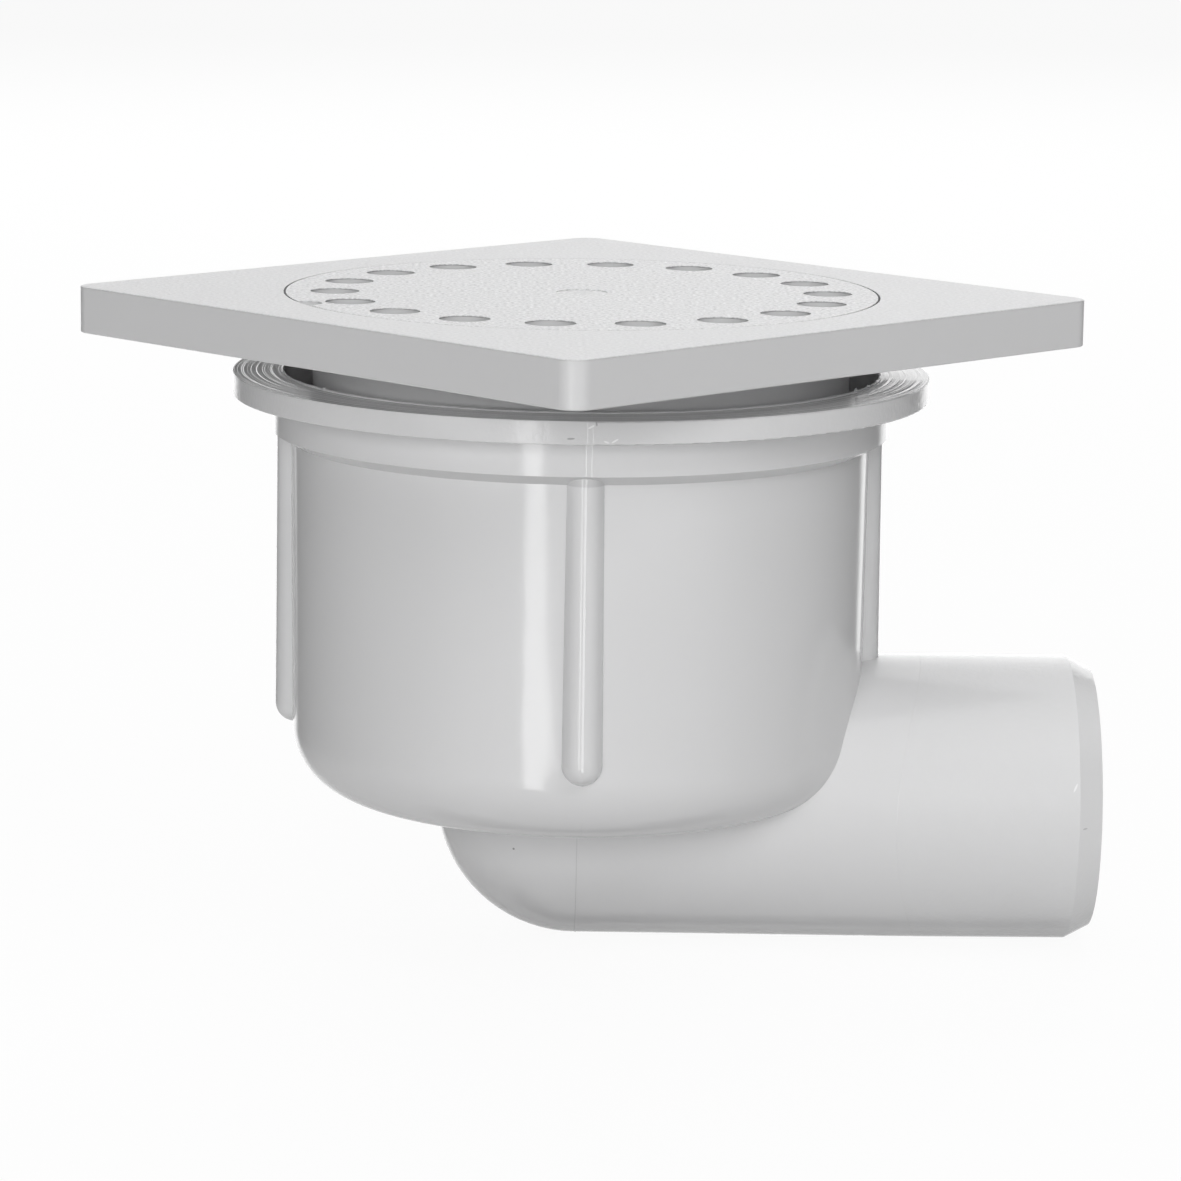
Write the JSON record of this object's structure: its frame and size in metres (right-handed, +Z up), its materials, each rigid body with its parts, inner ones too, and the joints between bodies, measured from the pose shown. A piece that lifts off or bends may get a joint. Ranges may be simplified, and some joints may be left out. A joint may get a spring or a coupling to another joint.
{
  "type": "shower drain",
  "caption": "Shower floor drain: square plate with a flush round lift-out grate on a turning neck, over a flanged pot with a bell trap and a horizontal outlet spigot.",
  "frame": {"origin": "on the pot's axis at the finished floor level, which is the top of the plate", "axes": "+Z up along the pot's axis, +X along the outlet"},
  "size_m": [0.1418, 0.139, 0.091],
  "materials": {
    "body_plastic": "glossy moulded, pale grey white",
    "bell_plastic": "glossy moulded, pale grey white",
    "frame_plastic": "fine spark-eroded grain on top, satin sides",
    "grate_plastic": "fine spark-eroded grain"
  },
  "bodies": {
    "pot": {"trap_body": "body_plastic", "trap_bell": "bell_plastic"},
    "top": {"top_frame": "frame_plastic", "grate": "grate_plastic"}
  },
  "joints": [
    {"name": "frame_turn", "type": "hinge", "parent": "pot", "child": "top", "pos_m": [0, 0, 0], "axis": [0, 0, 1], "continuous": true}
  ]
}
